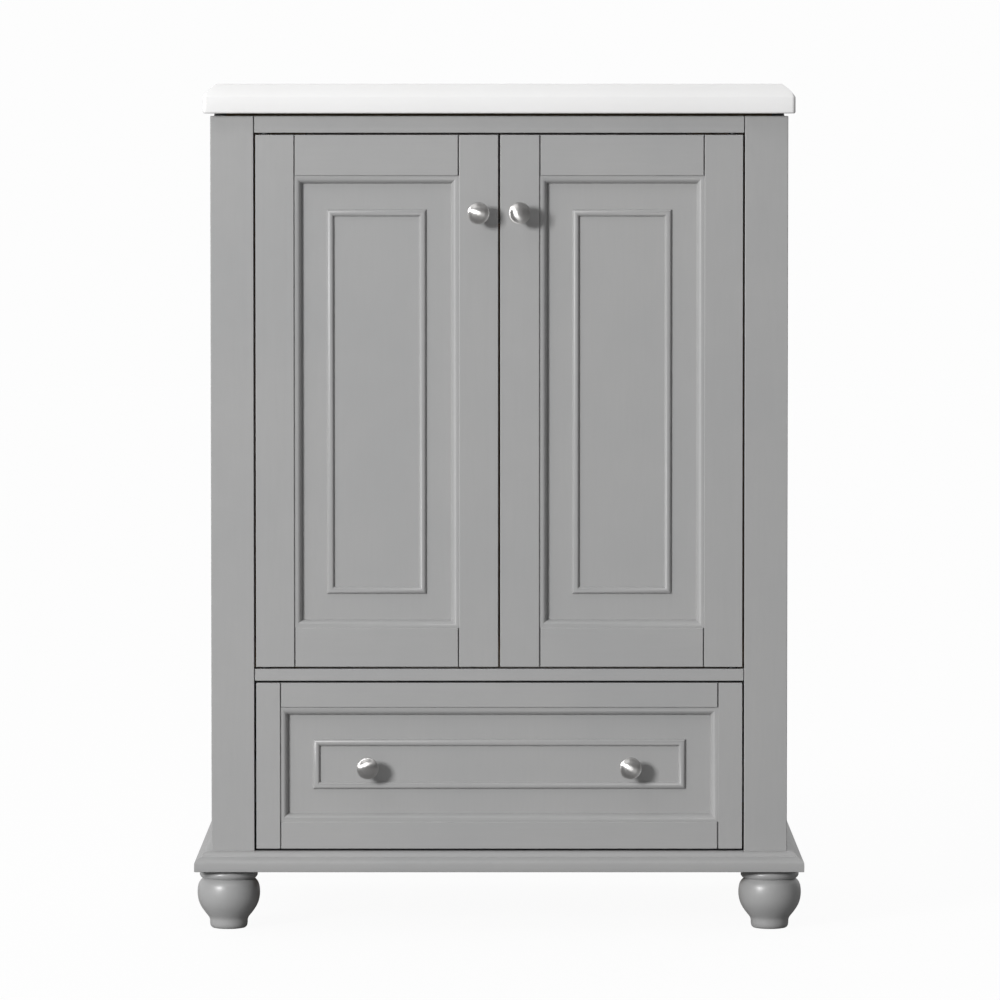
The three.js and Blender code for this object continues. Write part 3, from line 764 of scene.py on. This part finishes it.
def rounded_box(bm, low, high, radius):
    """A box between two corners, with all its edges rounded."""
    made = bmesh.ops.create_cube(bm, size=1.0)
    middle = (Vector(low) + Vector(high)) / 2
    size = Vector(high) - Vector(low)
    for vertex in made["verts"]:
        vertex.co = middle + Vector(v * s for v, s in zip(vertex.co, size))
    edges = {edge for vertex in made["verts"] for edge in vertex.link_edges}
    bmesh.ops.bevel(bm, geom=list(edges), offset=radius, segments=3, affect="EDGES", profile=0.5)


def hinge_pins():
    """The pins that the doors turn on keep their CAD shape."""
    for name in SIDES:
        for level in ("upper", "lower"):
            finish_board(f"{name}_{level}_pivot_pin", BLACK_STEEL, 0.3 * MM)


CATCH_X = 14 * MM  # each door's magnet and strike plate stand this far from the middle


def door_catch():
    """A case with one magnet for each door, and the plates that they hold."""
    low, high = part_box("double_magnetic_catch")
    bm = bmesh.new()
    rounded_box(bm, low, high, 1.2 * MM)
    piece("double_catch_case", bm, "cabinet", CATCH_PLASTIC, ["double_magnetic_catch"])
    bm = bmesh.new()
    middle_z = (low.z + high.z) / 2
    for side in SIDES.values():
        x = side * CATCH_X
        near = (x - 9 * MM, low.y - 0.4 * MM, middle_z - 5 * MM)
        far = (x + 9 * MM, low.y + 0.6 * MM, middle_z + 5 * MM)
        rounded_box(bm, near, far, 0.3 * MM)
    piece("catch_magnets", bm, "cabinet", MAGNET)
    for name, side in SIDES.items():
        strike_plate(name, side, middle_z)


def strike_plate(name, side, z):
    """A thin steel plate on the back of a door, which the magnet holds."""
    x = side * CATCH_X
    bm = bmesh.new()
    near = (x - 10.5 * MM, FRAME_BACK_Y - 0.1 * MM, z - 8 * MM)
    far = (x + 10.5 * MM, FRAME_BACK_Y + 1.2 * MM, z + 8 * MM)
    rounded_box(bm, near, far, 0.5 * MM)
    piece(f"{name}_strike_plate", bm, f"{name}_door", ZINC)


def knob_bolts():
    """The bolt heads behind the door knobs, and inside the drawer box behind the drawer knobs."""
    radius = 4 * MM

    def behind(knob, y):
        low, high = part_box(knob)
        middle = (low + high) / 2
        return Vector((middle.x, y, middle.z))

    for name in SIDES:
        place = behind(f"{name}_door_knob", FRAME_BACK_Y)
        screw_heads(f"{name}_door_knob_bolt", f"{name}_door", [place], radius)
    box_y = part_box("drawer_box_front")[1].y
    places = [behind(f"drawer_{name}_knob", box_y) for name in SIDES]
    screw_heads("drawer_knob_bolts", "drawer", places, radius)


def back_screws():
    """The back panel is screwed along its sides and its lower edge. The heads are half sunk in the board."""
    low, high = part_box("back_panel")
    margin = 10 * MM
    bays = 5
    y = high.y - 0.9 * MM
    places = []
    for i in range(bays + 1):
        z = low.z + margin + (high.z - low.z - 2 * margin) * i / bays
        places += [Vector((low.x + margin, y, z)), Vector((high.x - margin, y, z))]
    for i in range(1, bays):
        x = low.x + margin + (high.x - low.x - 2 * margin) * i / bays
        places.append(Vector((x, y, low.z + margin)))
    screw_heads("back_panel_screws", "cabinet", places, 3 * MM)


def slides():
    """The three nested channels of each slide, with the rows of balls that they run on."""
    for name, side in SIDES.items():
        for member in ("cabinet", "middle", "drawer"):
            finish_board(f"{name}_slide_{member}_member", ZINC, 0.4 * MM)
        ball_rows(name, side)


def ball_rows(name, side):
    """Balls in their raceways above and below the middle channel."""
    low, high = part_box(f"{name}_slide_middle_member")
    outer_low, outer_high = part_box(f"{name}_slide_cabinet_member")
    gauge = 1.25 * MM
    radius = (outer_high.z - gauge - high.z) / 2 * 0.98
    x = side * (abs(outer_low.x + outer_high.x) / 2 - 1.5 * MM)
    bm = bmesh.new()
    count = 14
    spacing = 9 * MM
    for i in range(count):
        y = low.y + (i + 2) * spacing
        for z in (high.z + radius * 1.01, low.z - radius * 1.01):
            place = Matrix.Translation((x, y, z))
            bmesh.ops.create_icosphere(bm, subdivisions=2, radius=radius, matrix=place)
    piece(f"{name}_slide_balls", bm, "slide_middles", ZINC)


# ---------------------------------------------------------------- stage
def floor_material():
    """A pale studio floor. The camera sees it burnt out to white, with only a trace of shadow."""
    floor = Surface("studio_floor", Specular_IOR_Level=0.1)
    rays = floor.node("ShaderNodeLightPath").outputs["Is Camera Ray"]
    tint = floor.mixed(rays, grey(0.32), grey(0.03))
    glow = floor.math("MULTIPLY", rays, 0.945)
    floor.shader.inputs["Emission Color"].default_value = grey(1.0)
    floor.shader.inputs["Roughness"].default_value = 0.9
    return floor.drive(Base_Color=tint, Emission_Strength=glow)


def stage():
    """The floor that the feet stand on."""
    bm = bmesh.new()
    reach = 14.0
    corners = [(-reach, -reach), (reach, -reach), (reach, reach), (-reach, reach)]
    bm.faces.new([bm.verts.new((x, y, cad_low.z)) for x, y in corners])
    mesh = bpy.data.meshes.new("studio_floor")
    bm.to_mesh(mesh)
    bm.free()
    mesh.materials.append(floor_material())
    floor = bpy.data.objects.new("studio_floor", mesh)
    bpy.context.scene.collection.objects.link(floor)


def world():
    """Light from a white sweep behind the object, the ceiling and a pale wall at the left, and little
    from the dim studio in front. The camera sees plain white.
    """
    made = bpy.data.worlds.new("studio")
    bpy.context.scene.world = made
    made.use_nodes = True
    tree = made.node_tree
    nodes = tree.nodes
    light = nodes["Background"]
    split = nodes.new("ShaderNodeSeparateXYZ")
    place = nodes.new("ShaderNodeTexCoord")
    tree.links.new(place.outputs["Generated"], split.inputs[0])

    def faded(axis, start, end, low, high):
        """Strength that eases from low to high while the direction's axis goes from start to end."""
        ramp = nodes.new("ShaderNodeMapRange")
        ramp.interpolation_type = "SMOOTHSTEP"
        for socket, value in zip(("From Min", "From Max", "To Min", "To Max"), (start, end, low, high)):
            ramp.inputs[socket].default_value = value
        tree.links.new(split.outputs[axis], ramp.inputs["Value"])
        return ramp.outputs["Result"]

    total = nodes.new("ShaderNodeMath")
    tree.links.new(faded("Y", -0.15, 0.8, 0.11, 0.6), total.inputs[0])
    tree.links.new(faded("Z", 0.2, 0.9, 0.0, 0.25), total.inputs[1])
    whole = nodes.new("ShaderNodeMath")
    tree.links.new(total.outputs[0], whole.inputs[0])
    tree.links.new(faded("X", -0.9, -0.2, 0.15, 0.0), whole.inputs[1])
    tree.links.new(whole.outputs[0], light.inputs["Strength"])
    light.inputs["Color"].default_value = grey(1.0)
    seen = nodes.new("ShaderNodeBackground")
    seen.inputs["Color"].default_value = grey(1.0)
    seen.inputs["Strength"].default_value = 0.982
    rays = nodes.new("ShaderNodeLightPath")
    mix = nodes.new("ShaderNodeMixShader")
    tree.links.new(rays.outputs["Is Camera Ray"], mix.inputs["Fac"])
    tree.links.new(light.outputs[0], mix.inputs[1])
    tree.links.new(seen.outputs[0], mix.inputs[2])
    tree.links.new(mix.outputs[0], nodes["World Output"].inputs["Surface"])


def soft_box(name, azimuth, elevation, distance, size, power):
    """A square lamp aimed at the object's middle. Azimuth 0 is straight in front, and left is negative."""
    lamp = bpy.data.lights.new(name, "AREA")
    lamp.size = size
    lamp.energy = power
    obj = bpy.data.objects.new(name, lamp)
    middle = (cad_low + cad_high) / 2
    a, e = math.radians(azimuth), math.radians(elevation)
    away = Vector((math.sin(a) * math.cos(e), -math.cos(a) * math.cos(e), math.sin(e)))
    obj.location = middle + away * distance
    obj.rotation_euler = away.to_track_quat("Z", "Y").to_euler()
    bpy.context.scene.collection.objects.link(obj)


def lights():
    """A low key light from the left, and a weak one from above it."""
    soft_box("key", -36.5, 14.5, 7.0, 1.4, 388)
    soft_box("overhead", -45, 50, 4.0, 2.0, 24)


def camera():
    """A long lens from the front, level with the underside of the top."""
    distance = 7.0
    eye_x = 0.8 * MM  # a hair to the right of the cabinet's middle
    eye_z = 0.84
    aim_z = 0.446  # what the middle of the picture shows on the cabinet's face
    shift = -0.03
    sensor = 36.0
    width_seen = 1.0335  # metres across the picture at the face
    drop = math.atan((eye_z - aim_z) / distance)
    data = bpy.data.cameras.new("camera")
    data.sensor_width = sensor
    data.lens = sensor * distance / width_seen
    lens_drop = math.atan(-shift * sensor / data.lens)
    along_axis = distance / math.cos(drop) * math.cos(lens_drop)
    data.lens = sensor * along_axis / width_seen
    data.shift_y = shift
    data.clip_end = 60.0
    obj = bpy.data.objects.new("camera", data)
    obj.location = (eye_x, FACE_Y - distance, eye_z)
    obj.rotation_euler = (math.radians(90) - (drop - lens_drop), 0, 0)
    bpy.context.scene.collection.objects.link(obj)
    bpy.context.scene.camera = obj


camera()
painted_boards()
rails()
plywood_boards()
panelled_fronts()
base_mouldings()
feet()
knobs()
countertop()
hinge_pins()
door_catch()
knob_bolts()
back_screws()
slides()
stage()
world()
lights()
bpy.context.scene.view_settings.view_transform = "Standard"
